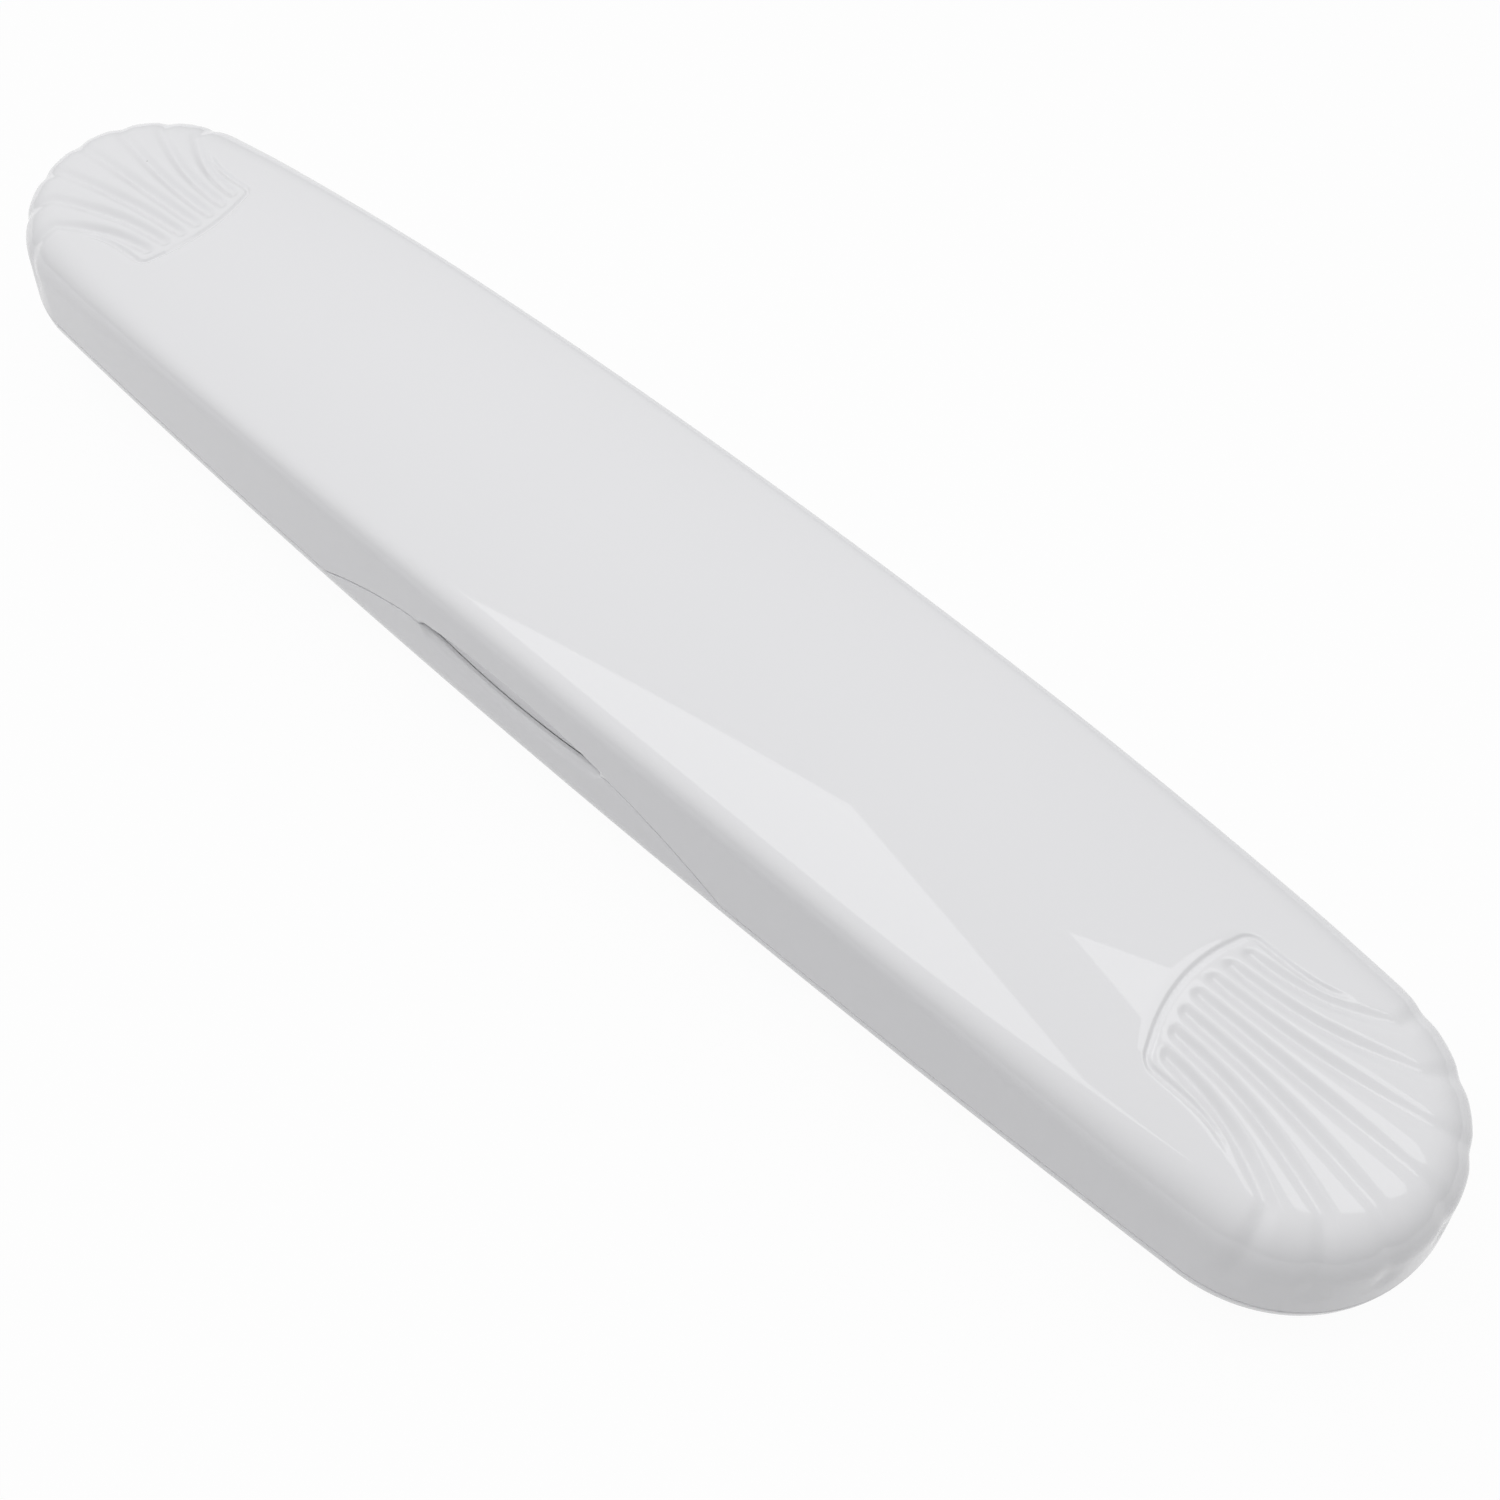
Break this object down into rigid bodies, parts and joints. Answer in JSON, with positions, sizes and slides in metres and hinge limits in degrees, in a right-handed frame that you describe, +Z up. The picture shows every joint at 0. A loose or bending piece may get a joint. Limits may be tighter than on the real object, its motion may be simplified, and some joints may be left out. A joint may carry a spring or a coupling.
{
  "type": "toothbrush case",
  "caption": "Hinged white plastic travel case for one toothbrush, a long rounded box with fluted shell ends and a thumb notch.",
  "frame": {"origin": "middle of the flat underside of the base", "axes": "+X along the length of the case, +Y towards the hinges at the back, +Z up through the lid"},
  "size_m": [0.21, 0.043, 0.0259],
  "materials": {
    "lid_plastic": "gloss",
    "base_plastic": "gloss",
    "hinge_steel": "satin"
  },
  "bodies": {
    "base": {"base": "base_plastic", "hinge_pin_left": "hinge_steel", "hinge_pin_right": "hinge_steel"},
    "lid": {"lid": "lid_plastic"}
  },
  "joints": [
    {"name": "lid_hinge", "type": "hinge", "parent": "base", "child": "lid", "pos_m": [0, 0.02093, 0.0098], "axis": [-1, 0, 0], "range_deg": [0, 125]}
  ]
}
